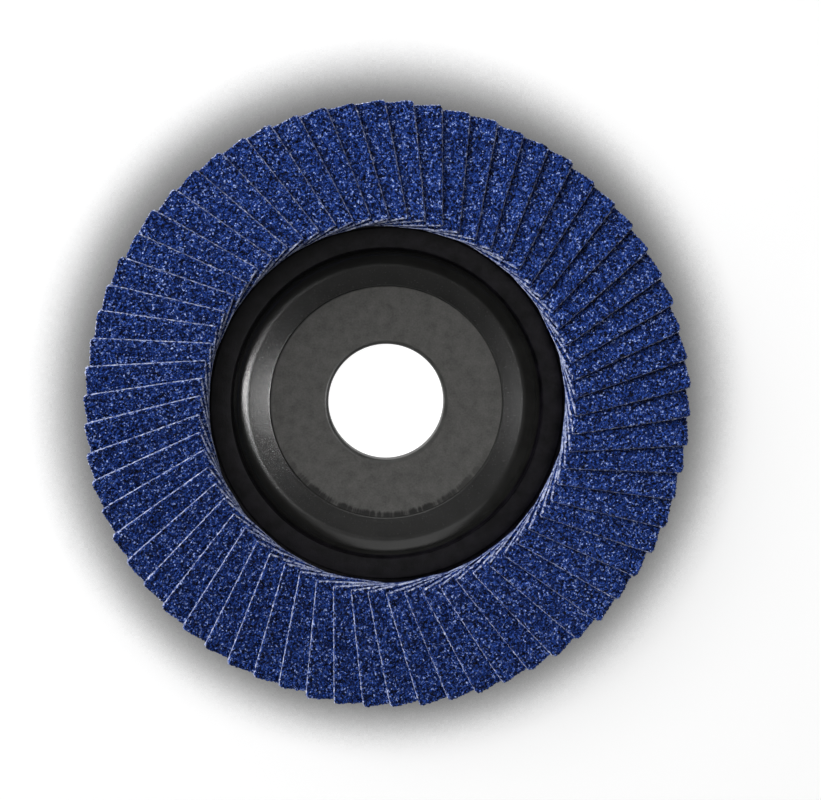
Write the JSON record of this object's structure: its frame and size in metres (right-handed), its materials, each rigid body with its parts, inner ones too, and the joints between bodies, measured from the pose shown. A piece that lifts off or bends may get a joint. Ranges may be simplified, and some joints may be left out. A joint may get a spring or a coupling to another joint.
{
  "type": "flap disc",
  "caption": "Abrasive flap disc: overlapping blue cloth flaps glued in a ring on a black plastic backing plate with a sunk hub and a plain bore.",
  "frame": {"origin": "on the bore axis, in the plane of the hub's rear seat", "axes": "+Z along the bore axis towards the abrasive side; +X and +Y lie in the plane of the disc"},
  "size_m": [0.1152, 0.1154, 0.0152],
  "materials": {
    "plate_plastic": "moulded black plastic, matt on the land and shelf, satin in the dish",
    "adhesive": "cured black epoxy",
    "abrasive_cloth": "blue abrasive grains in resin on cloth, with pale frayed edges"
  },
  "bodies": {
    "root": {"adhesive_ring": "adhesive", "backing_plate": "plate_plastic", "flap_pair_01": "abrasive_cloth", "flap_pair_02": "abrasive_cloth", "flap_pair_03": "abrasive_cloth", "flap_pair_04": "abrasive_cloth", "flap_pair_05": "abrasive_cloth", "flap_pair_06": "abrasive_cloth", "flap_pair_07": "abrasive_cloth", "flap_pair_08": "abrasive_cloth", "flap_pair_09": "abrasive_cloth", "flap_pair_10": "abrasive_cloth", "flap_pair_11": "abrasive_cloth", "flap_pair_12": "abrasive_cloth", "flap_pair_13": "abrasive_cloth", "flap_pair_14": "abrasive_cloth", "flap_pair_15": "abrasive_cloth", "flap_pair_16": "abrasive_cloth", "flap_pair_17": "abrasive_cloth", "flap_pair_18": "abrasive_cloth", "flap_pair_19": "abrasive_cloth", "flap_pair_20": "abrasive_cloth", "flap_pair_21": "abrasive_cloth", "flap_pair_22": "abrasive_cloth", "flap_pair_23": "abrasive_cloth", "flap_pair_24": "abrasive_cloth", "flap_pair_25": "abrasive_cloth", "flap_pair_26": "abrasive_cloth", "flap_pair_27": "abrasive_cloth", "flap_pair_28": "abrasive_cloth", "flap_pair_29": "abrasive_cloth", "flap_pair_30": "abrasive_cloth", "flap_pair_31": "abrasive_cloth", "flap_pair_32": "abrasive_cloth", "flap_pair_33": "abrasive_cloth"}
  },
  "joints": []
}
